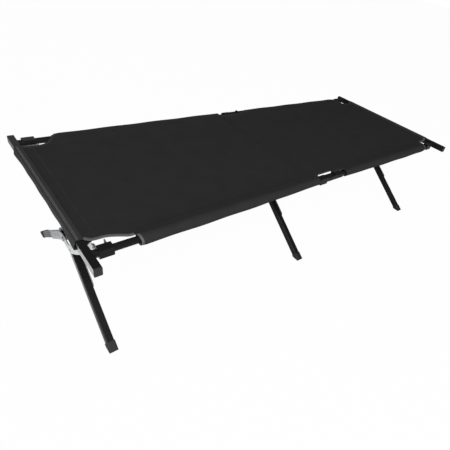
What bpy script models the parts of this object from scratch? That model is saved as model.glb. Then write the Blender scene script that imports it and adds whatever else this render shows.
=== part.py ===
"""Folding camp cot: two hinged side rails, two end bars, three scissor leg stations and a laced-on cover."""
import math

import bmesh
import bpy
from mathutils import Matrix, Vector

for old in list(bpy.data.objects):
    bpy.data.objects.remove(old, do_unlink=True)

GAP = 0.0003

# Overall frame
BED_TOP = 0.442
RAIL_Y = 0.331
RAIL_OD = 0.022
RAIL_WALL = 0.0015
BAR_X = 0.942
BAR_W = 0.022
BAR_H = 0.027
BAR_WALL = 0.0015
BAR_NEAR_OVERHANG = 0.0645
BAR_FAR_OVERHANG = 0.0375
CAP_T = 0.004
CAP_PLUG = 0.014
HINGE_X = 0.055
FLANGE_T = 0.002

# Leg stations: inwards from the end bars, and the middle one
FOOT_INSET = 0.045
HEAD_INSET = 0.070
MID_X = -0.017

# Scissor legs
LEG_ANGLE = 36.2
FOOT_Y = 0.335
TUBE = 0.025
TUBE_WALL = 0.0015
TUBE_TOP_Y = 0.040
FOOT_LEN = 0.028
FOOT_WALL = 0.0017
SOLE_T = 0.0035
CENTRE_DROP = 0.0182
PLATE_T = 0.003
PLATE_W = 0.030
PLATE_LOW_Y = 0.150
PIN_R = 0.004
BOLT_R = 0.004
RIVET_R = 0.0025
STOP_Y = 0.062
STOP_R = 0.005

# Rail brackets and swivels
PIVOT_DROP = 0.0165
BRACKET_LEN = 0.041
BRACKET_T = 0.0022
BRACKET_RIVET = 0.014
EAR_T = 0.0025
SWIVEL_H = 0.022
SWIVEL_BASE = 0.057
STUB_R = 0.004
STUB_HEAD_T = 0.002

# Mid hinge and rail plugs
LEAF_LEN = 0.050
LEAF_RIVET = 0.028
KNUCKLE_R = 0.0035
KNUCKLE_HALF = 0.0042
HINGE_PIN_R = 0.0015
PEG_R = 0.006
PLUG_LEN = 0.010

# Cover: cut-outs are given as clearances to the brackets and the hinge
CLOTH_T = 0.0015
SLEEVE_T = 0.0022
HEM_INSET = 0.051
FOOT_CUT = 0.058
HEAD_CUT = 0.023
MID_CUT_BEFORE_NEAR = 0.003
MID_CUT_AFTER_NEAR = 0.024
MID_CUT_BEFORE_FAR = 0.030
MID_CUT_AFTER_FAR = 0.003
MID_CUT_DEPTH_FOOT = 0.028
MID_CUT_DEPTH_HEAD = 0.015

# Derived
RAIL_R = RAIL_OD / 2
RAIL_RIN = RAIL_R - RAIL_WALL
RAIL_Z = BED_TOP - RAIL_R - GAP - SLEEVE_T
BAR_Z = RAIL_Z
BAR_IN = BAR_X - BAR_W / 2
BAR_NEAR = RAIL_Y + BAR_NEAR_OVERHANG
BAR_FAR = RAIL_Y + BAR_FAR_OVERHANG
CENTRE_SHIFT = (BAR_NEAR - BAR_FAR) / 2
FOOT_X = FOOT_INSET - BAR_X
HEAD_X = BAR_X - HEAD_INSET
RAIL_END = BAR_IN - 2 * GAP - FLANGE_T
HINGE_Z = BED_TOP + 0.0015
SADDLE_HALF = RAIL_R + GAP + BRACKET_T
HOLE_R = PIN_R + GAP
SLOPE = math.radians(LEG_ANGLE)
LEG_AXIS_Z = FOOT_Y * math.tan(SLOPE)
CENTRE_Z = LEG_AXIS_Z - CENTRE_DROP
FOOT_END_Y = FOOT_Y + 0.007
FOOT_START_Y = FOOT_END_Y - FOOT_LEN
TUBE_END_Y = FOOT_END_Y - 0.006
TUBE_RIVETS = (TUBE_TOP_Y + 0.015, TUBE_TOP_Y + 0.052)
LAYER_IN = TUBE / 2 + GAP
LAYER_OUT = LAYER_IN + PLATE_T
EAR_IN = LAYER_OUT + GAP
EAR_OUT = EAR_IN + EAR_T
WEB_OUT = RAIL_Y - RAIL_R - GAP
WEB_IN = WEB_OUT - BRACKET_T
BASE_OUT = WEB_IN - GAP
BASE_IN = BASE_OUT - BRACKET_T
PIVOT_Z = RAIL_Z - PIVOT_DROP
PIVOT_Y = BASE_IN - GAP - STUB_HEAD_T - 0.0022 - PLATE_W / 2
HEM_HALF = RAIL_Y - HEM_INSET
CORNER_FOOT = -FOOT_X - BRACKET_LEN / 2 - FOOT_CUT
CORNER_HEAD = HEAD_X - BRACKET_LEN / 2 - HEAD_CUT
MID_CUT = {
    ("near", "foot"): MID_X - BRACKET_LEN / 2 - MID_CUT_BEFORE_NEAR,
    ("far", "foot"): MID_X - BRACKET_LEN / 2 - MID_CUT_BEFORE_FAR,
    ("near", "head"): HINGE_X + LEAF_LEN + MID_CUT_AFTER_NEAR,
    ("far", "head"): HINGE_X + LEAF_LEN + MID_CUT_AFTER_FAR,
}
MID_CUT_Y = {"foot": RAIL_Y - MID_CUT_DEPTH_FOOT, "head": RAIL_Y - MID_CUT_DEPTH_HEAD}
CORNER_ARC = ((0.0, 0.0), (0.12, 0.15), (0.26, 0.26), (0.43, 0.33), (0.60, 0.44), (0.75, 0.61), (0.87, 0.81), (0.97, 1.0))
STATIONS = (("foot", FOOT_X), ("mid", MID_X), ("head", HEAD_X))

DARK = (0.016, 0.016, 0.017, 1.0)
ZINC = (0.55, 0.56, 0.57, 1.0)
GREY = (0.12, 0.12, 0.125, 1.0)
CLOTH = (0.022, 0.022, 0.023, 1.0)


def make_material(name, colour, metal, rough):
    mat = bpy.data.materials.new(name)
    mat.use_nodes = True
    shader = mat.node_tree.nodes["Principled BSDF"]
    shader.inputs["Base Color"].default_value = colour
    shader.inputs["Metallic"].default_value = metal
    shader.inputs["Roughness"].default_value = rough
    mat.diffuse_color = colour
    return mat


PAINT = make_material("black_paint_steel", DARK, 0.0, 0.35)
STEEL = make_material("zinc_steel", ZINC, 0.9, 0.4)
PLASTIC = make_material("grey_plastic", GREY, 0.0, 0.5)
FABRIC = make_material("black_cloth", CLOTH, 0.0, 0.9)

part = bpy.data.collections.new("camp_cot")
bpy.context.scene.collection.children.link(part)


def new_object(name, bm):
    bmesh.ops.recalc_face_normals(bm, faces=bm.faces)
    mesh = bpy.data.meshes.new(name)
    bm.to_mesh(mesh)
    bm.free()
    obj = bpy.data.objects.new(name, mesh)
    part.objects.link(obj)
    return obj


def prism(name, outline, lo, hi, matrix, inner=None):
    """Closed prism of a 2D outline between lo and hi on local Z; inner is a hole with as many points."""
    bm = bmesh.new()

    def loop(points, z):
        return [bm.verts.new(matrix @ Vector((p[0], p[1], z))) for p in points]

    low = loop(outline, lo)
    high = loop(outline, hi)
    count = len(outline)
    for i in range(count):
        j = (i + 1) % count
        bm.faces.new((low[i], low[j], high[j], high[i]))
    if inner is None:
        bm.faces.new(low[::-1])
        bm.faces.new(high)
    else:
        low_in = loop(inner, lo)
        high_in = loop(inner, hi)
        for i in range(count):
            j = (i + 1) % count
            bm.faces.new((low_in[j], low_in[i], high_in[i], high_in[j]))
            bm.faces.new((low[j], low[i], low_in[i], low_in[j]))
            bm.faces.new((high[i], high[j], high_in[j], high_in[i]))
    return new_object(name, bm)


def circle(radius, count=32, centre=(0.0, 0.0)):
    step = 2 * math.pi / count
    return [(centre[0] + radius * math.cos(i * step), centre[1] + radius * math.sin(i * step))
            for i in range(count)]


def round_rect(width, height, radius, steps=4):
    points = []
    corners = ((1, 1, 0), (-1, 1, 90), (-1, -1, 180), (1, -1, 270))
    for sx, sy, start in corners:
        for k in range(steps + 1):
            a = math.radians(start + 90 * k / steps)
            points.append((sx * (width / 2 - radius) + radius * math.cos(a),
                           sy * (height / 2 - radius) + radius * math.sin(a)))
    return points


def frame(axis, origin=(0.0, 0.0, 0.0)):
    """Matrix whose local Z runs along a world axis: X gives (y, z) outlines, Y gives (x, z), Z gives (x, y)."""
    columns = {
        "X": ((0, 1, 0), (0, 0, 1), (1, 0, 0)),
        "Y": ((1, 0, 0), (0, 0, 1), (0, 1, 0)),
        "Z": ((1, 0, 0), (0, 1, 0), (0, 0, 1)),
    }[axis]
    rot = Matrix(columns).transposed().to_4x4()
    return Matrix.Translation(Vector(origin)) @ rot


def box(name, x, y, z):
    outline = [(x[0], y[0]), (x[1], y[0]), (x[1], y[1]), (x[0], y[1])]
    return prism(name, outline, z[0], z[1], Matrix.Identity(4))


def rod(name, axis, centre, radius, lo, hi, count=22):
    """Cylinder along a world axis; centre holds the two other coordinates in order."""
    return prism(name, circle(radius, count, centre), lo, hi, frame(axis))


def combine(obj, tool, operation):
    mod = obj.modifiers.new("combine", "BOOLEAN")
    mod.operation = operation
    mod.solver = "EXACT"
    mod.object = tool
    bpy.context.view_layer.update()
    graph = bpy.context.evaluated_depsgraph_get()
    mesh = bpy.data.meshes.new_from_object(obj.evaluated_get(graph), depsgraph=graph)
    old_mesh = obj.data
    obj.modifiers.clear()
    obj.data = mesh
    mesh.name = obj.name
    bpy.data.meshes.remove(old_mesh)
    tool_mesh = tool.data
    bpy.data.objects.remove(tool, do_unlink=True)
    bpy.data.meshes.remove(tool_mesh)
    bm = bmesh.new()
    bm.from_mesh(mesh)
    bmesh.ops.remove_doubles(bm, verts=bm.verts, dist=0.000002)
    bmesh.ops.dissolve_degenerate(bm, edges=bm.edges, dist=0.000002)
    bm.to_mesh(mesh)
    bm.free()


def add(obj, tool):
    combine(obj, tool, "UNION")


def cut(obj, tool):
    combine(obj, tool, "DIFFERENCE")


def finish(obj, mat):
    obj.data.materials.clear()
    obj.data.materials.append(mat)
    for poly in obj.data.polygons:
        poly.material_index = 0


def moved(obj, matrix):
    obj.data.transform(matrix)
    if matrix.determinant() < 0:
        obj.data.flip_normals()
    obj.data.update()


def inner_flare(radius):
    """Distance from the rail axis where a rivet tail of this radius clears the bore."""
    return math.sqrt((RAIL_RIN - GAP) ** 2 - radius ** 2)


def side_rail(side, half):
    """Round tube of one rail half, with the rivet holes of its brackets and hinge leaf."""
    s = -1 if side == "near" else 1
    if half == "foot":
        lo, hi = -RAIL_END, HINGE_X - GAP / 2
        stations = (FOOT_X, MID_X)
        leaf_x = HINGE_X - LEAF_RIVET
    else:
        lo, hi = HINGE_X + GAP / 2, RAIL_END
        stations = (HEAD_X,)
        leaf_x = HINGE_X + LEAF_RIVET
    name = side + "_" + half + "_rail"
    y = s * RAIL_Y
    rail = prism(name, circle(RAIL_R, 32, (y, RAIL_Z)), lo, hi, frame("X"),
                 circle(RAIL_RIN, 32, (y, RAIL_Z)))
    for station in stations:
        for dx in (-BRACKET_RIVET, BRACKET_RIVET):
            y_in = s * (RAIL_Y - RAIL_R - 0.002)
            cut(rail, rod("hole", "Y", (station + dx, RAIL_Z), RIVET_R + GAP, min(y_in, y), max(y_in, y), 16))
    reach = RAIL_R + 0.002
    cut(rail, rod("hole", "Y", (leaf_x, RAIL_Z), RIVET_R + GAP, y - reach, y + reach, 16))
    finish(rail, PAINT)


def rail_plug(side, half):
    """Moulded plug in the rail end; the near plugs carry the pegs that the bars turn on."""
    s = -1 if side == "near" else 1
    e = -1 if half == "foot" else 1
    name = side + "_" + half + "_rail_plug"
    centre = (s * RAIL_Y, RAIL_Z)
    plug_in = RAIL_END - PLUG_LEN
    flange = (RAIL_END + GAP, RAIL_END + GAP + FLANGE_T)
    spans = [(RAIL_RIN - GAP, plug_in, flange[0] + 0.0005), (RAIL_R + 0.001, flange[0], flange[1])]
    if side == "near":
        spans.append((PEG_R, flange[1] - 0.0005, BAR_X + BAR_W / 2 - BAR_WALL - 0.005))
    plug = None
    for radius, a, b in spans:
        piece = rod(name if plug is None else "piece", "X", centre, radius, min(e * a, e * b), max(e * a, e * b))
        if plug is None:
            plug = piece
        else:
            add(plug, piece)
    finish(plug, PLASTIC)


def hinge_leaf(side, half):
    """Inverted U saddle riveted to the rail end, with the knuckles of the upward-folding mid hinge."""
    s = -1 if side == "near" else 1
    e = -1 if half == "foot" else 1
    y = s * RAIL_Y
    name = side + "_" + half + "_hinge_leaf"
    near_end = HINGE_X + e * GAP / 2
    far_end = HINGE_X + e * LEAF_LEN
    outer = SADDLE_HALF
    drop = RAIL_Z - 0.006
    chamfer = 0.003
    outline = [(-outer, drop), (-outer, BED_TOP - chamfer), (-outer + chamfer, BED_TOP),
               (outer - chamfer, BED_TOP), (outer, BED_TOP - chamfer), (outer, drop)]
    bore = RAIL_R + GAP
    outline.append((bore, drop))
    for k in range(13):
        a = math.pi * k / 12
        outline.append((bore * math.cos(a), RAIL_Z + bore * math.sin(a)))
    outline.append((-bore, drop))
    shifted = [(y + p[0], p[1]) for p in outline]
    leaf = prism(name, shifted, min(near_end, far_end), max(near_end, far_end), frame("X"))
    outer_bands = ((-outer, -KNUCKLE_HALF - GAP), (KNUCKLE_HALF + GAP, outer))
    centre_band = ((-KNUCKLE_HALF, KNUCKLE_HALF),)
    own, other = (outer_bands, centre_band) if half == "foot" else (centre_band, outer_bands)
    clear = KNUCKLE_R + GAP
    for lo, hi in other:
        margin = 0.001 if abs(lo) < outer * 0.99 and abs(hi) < outer * 0.99 else 0.0
        y_lo = lo - GAP if lo > -outer else lo - 0.001
        y_hi = hi + GAP if hi < outer else hi + 0.001
        x_a = HINGE_X - e * 0.001
        x_b = HINGE_X + e * clear
        cut(leaf, box("slot", (min(x_a, x_b), max(x_a, x_b)), (y + y_lo, y + y_hi),
                      (HINGE_Z - clear, HINGE_Z + 0.01 + margin)))
    for lo, hi in own:
        x_b = HINGE_X + e * 0.008
        add(leaf, box("strap", (min(HINGE_X, x_b), max(HINGE_X, x_b)), (y + lo, y + hi),
                      (BED_TOP - 0.0006, HINGE_Z)))
        add(leaf, rod("knuckle", "Y", (HINGE_X, HINGE_Z), KNUCKLE_R, y + lo, y + hi))
    if half == "foot":
        add(leaf, rod("pin", "Y", (HINGE_X, HINGE_Z), HINGE_PIN_R, y - outer - 0.001, y + outer + 0.001, 16))
    else:
        cut(leaf, rod("eye", "Y", (HINGE_X, HINGE_Z), HINGE_PIN_R + GAP, y - outer - 0.002, y + outer + 0.002, 16))
    x_rivet = HINGE_X + e * LEAF_RIVET
    tail_r = RIVET_R + 0.0012
    tail = inner_flare(tail_r)
    for d in (-1, 1):
        spans = ((RIVET_R + 0.002, outer - 0.0005, outer + 0.0012), (RIVET_R, tail - 0.0016, outer),
                 (tail_r, tail - 0.0016, tail))
        for radius, a, b in spans:
            y_a, y_b = y + d * a, y + d * b
            add(leaf, rod("rivet", "Y", (x_rivet, RAIL_Z), radius, min(y_a, y_b), max(y_a, y_b), 16))
    finish(leaf, PAINT)


def rail_bracket(side, label, station):
    """Box saddle round the rail, riveted on its inner side, with the stub that its swivel turns on."""
    s = -1 if side == "near" else 1
    name = side + "_" + label + "_bracket"
    x = (station - BRACKET_LEN / 2, station + BRACKET_LEN / 2)
    lip = RAIL_Y + RAIL_R + GAP

    def span(a, b):
        return (min(s * a, s * b), max(s * a, s * b))

    bracket = box(name, x, span(WEB_IN, WEB_OUT), (PIVOT_Z - SWIVEL_H / 2 - 0.001, BED_TOP))
    for lo, hi in ((BED_TOP - SLEEVE_T, BED_TOP),
                   (RAIL_Z - SADDLE_HALF, RAIL_Z - RAIL_R - GAP)):
        add(bracket, box("flange", x, span(WEB_IN, lip + BRACKET_T / 2), (lo, hi)))
    add(bracket, box("outer_wall", x, span(lip, lip + BRACKET_T), (RAIL_Z - SADDLE_HALF, BED_TOP)))
    tail_r = RIVET_R + 0.0012
    tail = inner_flare(tail_r)
    for dx in (-BRACKET_RIVET, BRACKET_RIVET):
        for radius, a, b in ((RIVET_R, WEB_IN + 0.0005, RAIL_Y - tail + 0.0016),
                             (tail_r, RAIL_Y - tail, RAIL_Y - tail + 0.0016)):
            add(bracket, rod("rivet", "Y", (station + dx, RAIL_Z), radius, *span(a, b), 16))
    head = BASE_IN - GAP
    for radius, a, b in ((STUB_R, head - 0.001, WEB_OUT - 0.0005), (STUB_R + 0.0025, head - STUB_HEAD_T, head)):
        add(bracket, rod("stub", "Y", (station, PIVOT_Z), radius, *span(a, b)))
    finish(bracket, PAINT)


def swivel(side, label, station):
    """U channel on the bracket stub; its cross pin carries the upper end of an S plate."""
    s = -1 if side == "near" else 1
    name = side + "_" + label + "_swivel"
    z = (PIVOT_Z - SWIVEL_H / 2, PIVOT_Z + SWIVEL_H / 2)
    ear_tip = PIVOT_Y - PLATE_W / 2

    def span(a, b):
        return (min(s * a, s * b), max(s * a, s * b))

    body = box(name, (station - SWIVEL_BASE / 2, station + SWIVEL_BASE / 2), span(BASE_IN, BASE_OUT), z)
    for d in (-1, 1):
        x_a, x_b = station + d * EAR_IN, station + d * EAR_OUT
        add(body, box("ear", (min(x_a, x_b), max(x_a, x_b)), span(ear_tip, BASE_OUT), z))
    cut(body, rod("hole", "Y", (station, PIVOT_Z), STUB_R + GAP, *span(BASE_IN - 0.002, BASE_OUT + 0.002)))
    centre = (s * PIVOT_Y, PIVOT_Z)
    reach = EAR_OUT + 0.0015
    pin_end = (EAR_OUT + reach) / 2
    add(body, rod("pin", "X", centre, PIN_R, station - pin_end, station + pin_end))
    for d in (-1, 1):
        x_a, x_b = station + d * (EAR_IN + EAR_OUT) / 2, station + d * reach
        add(body, rod("head", "X", centre, PIN_R + 0.002, min(x_a, x_b), max(x_a, x_b)))
    x_a, x_b = station + s * (EAR_IN + 0.0005) * -1, station + s * (LAYER_IN - GAP)
    add(body, rod("collar", "X", centre, PIN_R + 0.003, min(x_a, x_b), max(x_a, x_b)))
    finish(body, STEEL)


def leg_matrix(station):
    """Local Z runs down the leg axis of leg B, local X along world X, origin where the axis meets y = 0."""
    down = Vector((0.0, math.cos(SLOPE), -math.sin(SLOPE)))
    across = Vector((1.0, 0.0, 0.0))
    normal = down.cross(across)
    rot = Matrix((across, normal, down)).transposed().to_4x4()
    return Matrix.Translation(Vector((station, 0.0, LEG_AXIS_Z))) @ rot


def along(y):
    """Distance down the leg axis of the point above a given |y|."""
    return y / math.cos(SLOPE)


def axis_point(y, offset=0.0):
    """(y, z) on the leg B axis, moved off it on the upper side."""
    return (y + offset * math.sin(SLOPE), LEG_AXIS_Z - y * math.tan(SLOPE) + offset * math.cos(SLOPE))


def turned(obj, station, leg):
    """Leg A is leg B turned half round about the station's vertical."""
    if leg == "a":
        spin = Matrix.Rotation(math.pi, 4, "Z")
        moved(obj, Matrix.Translation(Vector((station, 0, 0))) @ spin @ Matrix.Translation(Vector((-station, 0, 0))))


def floor_block(station, top):
    """Everything below a height under leg B's foot."""
    return box("floor", (station - 2 * TUBE, station + 2 * TUBE), (FOOT_Y / 2, 2 * FOOT_Y), (-4 * TUBE, top))


def leg_tube(leg, label, station):
    name = "leg_" + leg + "_" + label + "_tube"
    inner = TUBE - 2 * TUBE_WALL
    tube = prism(name, round_rect(TUBE, TUBE, 0.0028), along(TUBE_TOP_Y), along(TUBE_END_Y),
                 leg_matrix(station), round_rect(inner, inner, 0.0013))
    cut(tube, floor_block(station, SOLE_T))
    for y in TUBE_RIVETS:
        cut(tube, rod("hole", "X", axis_point(y), RIVET_R + GAP, station - TUBE, station, 16))
    turned(tube, station, leg)
    finish(tube, PAINT)


def leg_foot(leg, label, station):
    name = "leg_" + leg + "_" + label + "_foot"
    size = TUBE + 2 * (GAP + FOOT_WALL)
    hollow = TUBE + 2 * GAP
    foot = prism(name, round_rect(size, size, 0.004), along(FOOT_START_Y), along(FOOT_END_Y), leg_matrix(station))
    pocket = prism("pocket", round_rect(hollow, hollow, 0.0031), along(FOOT_START_Y) - 0.01,
                   along(TUBE_END_Y) + GAP, leg_matrix(station))
    cut(pocket, floor_block(station, SOLE_T - GAP))
    cut(foot, pocket)
    cut(foot, floor_block(station, 0.0))
    turned(foot, station, leg)
    finish(foot, PLASTIC)


def smooth_line(points, cut_back=0.018, steps=5):
    """Polyline with its inner corners rounded."""
    out = [Vector(points[0])]
    for i in range(1, len(points) - 1):
        before, here, after = Vector(points[i - 1]), Vector(points[i]), Vector(points[i + 1])
        back = min(cut_back, (here - before).length * 0.45, (after - here).length * 0.45)
        start = here + (before - here).normalized() * back
        end = here + (after - here).normalized() * back
        for k in range(steps + 1):
            t = k / steps
            out.append((1 - t) ** 2 * start + 2 * t * (1 - t) * here + t * t * end)
    out.append(Vector(points[-1]))
    return out


def ribbon(points, half):
    """Closed outline of a strip with round ends along a smooth line."""
    line = smooth_line(points)
    left, right = [], []
    for i, p in enumerate(line):
        a = line[max(i - 1, 0)]
        b = line[min(i + 1, len(line) - 1)]
        direction = (b - a).normalized()
        normal = Vector((-direction.y, direction.x))
        left.append(p + normal * half)
        right.append(p - normal * half)
    outline = list(left)
    for centre, start in ((line[-1], left[-1] - line[-1]), (line[0], right[0] - line[0])):
        base = math.atan2(start.y, start.x)
        for k in range(1, 9):
            a = base - math.pi * k / 9
            outline.append(centre + Vector((math.cos(a), math.sin(a))) * half)
        if centre is line[-1]:
            outline.extend(reversed(right))
    return [(p[0], p[1]) for p in outline]


def s_plate(leg, label, station):
    """Flat S plate riveted to the tube; it runs through the crossing bolt up to the rail pivot."""
    name = "leg_" + leg + "_" + label + "_plate"
    line = [axis_point(PLATE_LOW_Y), axis_point(0.040, -0.002), (0.008, CENTRE_Z + 0.004),
            (-0.020, CENTRE_Z + 0.003), (-0.055, CENTRE_Z - 0.004), (-0.130, CENTRE_Z + 0.050),
            (-PIVOT_Y, PIVOT_Z)]
    plate = prism(name, ribbon(line, PLATE_W / 2), station - LAYER_OUT, station - LAYER_IN, frame("X"))
    cut(plate, rod("hole", "X", (-PIVOT_Y, PIVOT_Z), HOLE_R, station - 0.03, station))
    cut(plate, rod("hole", "X", (0.0, CENTRE_Z), BOLT_R + GAP, station - 0.03, station))
    tail_r = RIVET_R + 0.0012
    wall_in = TUBE / 2 - TUBE_WALL - GAP
    for y in TUBE_RIVETS:
        for radius, a, b in ((RIVET_R + 0.0025, LAYER_OUT + 0.0015, LAYER_OUT - 0.0005),
                             (RIVET_R, LAYER_OUT - 0.001, wall_in - 0.0016),
                             (tail_r, wall_in, wall_in - 0.0016)):
            add(plate, rod("rivet", "X", axis_point(y), radius, station - a, station - b, 16))
    stop = (-STOP_Y, LEG_AXIS_Z - STOP_Y * math.tan(SLOPE) + (TUBE / 2 + STOP_R + 0.0004) / math.cos(SLOPE))
    add(plate, rod("stop", "X", stop, STOP_R, station - LAYER_OUT - 0.0015, station + TUBE / 3))
    turned(plate, station, leg)
    finish(plate, STEEL)


def centre_bolt(label, station):
    name = "leg_" + label + "_centre_bolt"
    centre = (0.0, CENTRE_Z)
    head = LAYER_OUT + GAP
    bolt = rod(name, "X", centre, BOLT_R, station - head - 0.001, station + head + 0.001)
    add(bolt, rod("spacer", "X", centre, BOLT_R + 0.003, station - LAYER_IN + GAP, station + LAYER_IN - GAP))
    for d in (-1, 1):
        x_a, x_b = station + d * head, station + d * (head + 0.0035)
        add(bolt, rod("head", "X", centre, BOLT_R + 0.0035, min(x_a, x_b), max(x_a, x_b)))
    finish(bolt, STEEL)


def end_bar(half):
    e = -1 if half == "foot" else 1
    name = half + "_bar"
    outer = [(e * BAR_X + p[0], BAR_Z + p[1]) for p in round_rect(BAR_W, BAR_H, 0.0025)]
    inner = [(e * BAR_X + p[0], BAR_Z + p[1])
             for p in round_rect(BAR_W - 2 * BAR_WALL, BAR_H - 2 * BAR_WALL, 0.001)]
    bar = prism(name, outer, -BAR_NEAR, BAR_FAR, frame("Y"), inner)
    x_a, x_b = e * (BAR_IN - 0.003), e * BAR_X
    cut(bar, rod("hole", "X", (-RAIL_Y, BAR_Z), PEG_R + GAP, min(x_a, x_b), max(x_a, x_b)))
    finish(bar, PAINT)


def bar_cap(side, half):
    s = -1 if side == "near" else 1
    e = -1 if half == "foot" else 1
    name = side + "_" + half + "_bar_cap"
    face = (BAR_NEAR if side == "near" else BAR_FAR) + GAP
    y_a, y_b = s * face, s * (face + CAP_T)
    outer = [(e * BAR_X + p[0], BAR_Z + p[1]) for p in round_rect(BAR_W, BAR_H, 0.0025)]
    cap = prism(name, outer, min(y_a, y_b), max(y_a, y_b), frame("Y"))
    plug_w = BAR_W - 2 * BAR_WALL - 2 * GAP
    plug_h = BAR_H - 2 * BAR_WALL - 2 * GAP
    inner = [(e * BAR_X + p[0], BAR_Z + p[1]) for p in round_rect(plug_w, plug_h, 0.0012)]
    y_a, y_b = s * (face + CAP_T / 4), s * (face - CAP_PLUG)
    add(cap, prism("plug", inner, min(y_a, y_b), max(y_a, y_b), frame("Y")))
    finish(cap, PLASTIC)


def bed_panel(half):
    """Taut bed cloth of one half, cut out at the corners and at the mid hinge."""
    e = -1 if half == "foot" else 1
    x_bar = BAR_IN - 2 * GAP - CLOTH_T
    corner = CORNER_FOOT if half == "foot" else CORNER_HEAD
    edge = RAIL_Y - math.sqrt((RAIL_R + GAP + SLEEVE_T) ** 2
                              - (RAIL_R + GAP + SLEEVE_T - CLOTH_T) ** 2) - GAP - 0.0006
    run = x_bar - corner

    def border(mid_cut):
        line = [(e * (x_bar - run * u), HEM_HALF + v * (edge - HEM_HALF)) for u, v in CORNER_ARC]
        line.append((mid_cut + e * 0.006, edge))
        for k in range(1, 5):
            a = math.pi / 2 * k / 4
            line.append((mid_cut + e * 0.006 * (1 - math.sin(a)) - e * 0.004 * (1 - math.cos(a)),
                         edge - (edge - MID_CUT_Y[half]) * k / 4))
        line.append((HINGE_X + e * GAP, MID_CUT_Y[half]))
        return line

    near = [(p[0], -p[1]) for p in border(MID_CUT["near", half])]
    outline = border(MID_CUT["far", half]) + near[::-1]
    panel = prism("bed_panel_" + half, outline, BED_TOP - CLOTH_T, BED_TOP, frame("Z"))
    finish(panel, FABRIC)


def end_hem(half):
    e = -1 if half == "foot" else 1
    grow = 2 * GAP
    wide = grow + 2 * CLOTH_T
    outer = [(e * BAR_X + p[0], BAR_Z + p[1]) for p in round_rect(BAR_W + wide, BAR_H + wide, 0.0043)]
    inner = [(e * BAR_X + p[0], BAR_Z + p[1]) for p in round_rect(BAR_W + grow, BAR_H + grow, 0.0028)]
    hem = prism("bed_hem_" + half, outer, -HEM_HALF, HEM_HALF, frame("Y"), inner)
    finish(hem, FABRIC)


def side_sleeve(side, half):
    s = -1 if side == "near" else 1
    centre = (s * RAIL_Y, RAIL_Z)
    if half == "foot":
        lo, hi = -CORNER_FOOT, MID_CUT[side, half]
    else:
        lo, hi = MID_CUT[side, half], CORNER_HEAD
    sleeve = prism(side + "_" + half + "_sleeve", circle(RAIL_R + GAP + SLEEVE_T, 28, centre), lo, hi,
                   frame("X"), circle(RAIL_R + GAP, 28, centre))
    finish(sleeve, FABRIC)


for half in ("foot", "head"):
    for side in ("near", "far"):
        side_rail(side, half)
        rail_plug(side, half)
        hinge_leaf(side, half)
        bar_cap(side, half)
        side_sleeve(side, half)
    end_bar(half)
    bed_panel(half)
    end_hem(half)

for label, station in STATIONS:
    for side in ("near", "far"):
        rail_bracket(side, label, station)
        swivel(side, label, station)
    for leg in ("a", "b"):
        leg_tube(leg, label, station)
        leg_foot(leg, label, station)
        s_plate(leg, label, station)
    centre_bolt(label, station)

for obj in part.objects:
    moved(obj, Matrix.Translation((0.0, CENTRE_SHIFT, 0.0)))
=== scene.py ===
"""Folding camp cot: cloth cover, finishes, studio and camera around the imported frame."""

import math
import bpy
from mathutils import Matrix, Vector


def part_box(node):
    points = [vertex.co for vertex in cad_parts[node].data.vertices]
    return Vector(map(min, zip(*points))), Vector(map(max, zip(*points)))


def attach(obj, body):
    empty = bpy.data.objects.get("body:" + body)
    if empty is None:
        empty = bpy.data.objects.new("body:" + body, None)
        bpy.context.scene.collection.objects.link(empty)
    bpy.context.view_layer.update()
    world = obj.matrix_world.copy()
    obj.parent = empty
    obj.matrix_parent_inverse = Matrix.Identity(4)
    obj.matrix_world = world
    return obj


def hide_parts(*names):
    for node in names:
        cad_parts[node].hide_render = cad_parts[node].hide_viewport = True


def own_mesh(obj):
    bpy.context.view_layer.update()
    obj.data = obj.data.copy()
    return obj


bl_info = {
    "name": "Folding Camp Cot",
    "version": (1, 0, 0),
    "blender": (4, 5, 0),
    "location": "View3D > Sidebar > Camp Cot",
    "description": "Dresses the frame of a folding camp cot with its cover and finishes",
    "category": "Object",
}

from collections import namedtuple

import bpy
import numpy as np
from mathutils import Matrix, Vector

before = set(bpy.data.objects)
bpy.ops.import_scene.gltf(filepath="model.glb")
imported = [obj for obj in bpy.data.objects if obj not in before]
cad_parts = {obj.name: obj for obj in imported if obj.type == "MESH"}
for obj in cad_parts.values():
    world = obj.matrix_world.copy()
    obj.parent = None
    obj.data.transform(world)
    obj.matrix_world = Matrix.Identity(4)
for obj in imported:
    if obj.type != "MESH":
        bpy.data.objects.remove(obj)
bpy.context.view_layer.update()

# The cover is drawn once for a half and a side, and turned by these signs of X and Y
HALVES = {"foot": -1, "head": 1}
SIDES = {"near": -1, "far": 1}
UP = Vector((0, 0, 1))

# Places read from the frame. Places along X are distances from the middle of the cot, and places
# along Y are distances from the bed's centre line, which is at MID_Y.
BAR_LOW, BAR_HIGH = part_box("foot_bar")
NEAR_RAIL_LOW, NEAR_RAIL_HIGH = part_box("near_foot_rail")
FAR_RAIL_LOW, FAR_RAIL_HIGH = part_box("far_foot_rail")
PANEL_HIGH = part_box("bed_panel_foot")[1]
HEM_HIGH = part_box("bed_hem_foot")[1]

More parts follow.
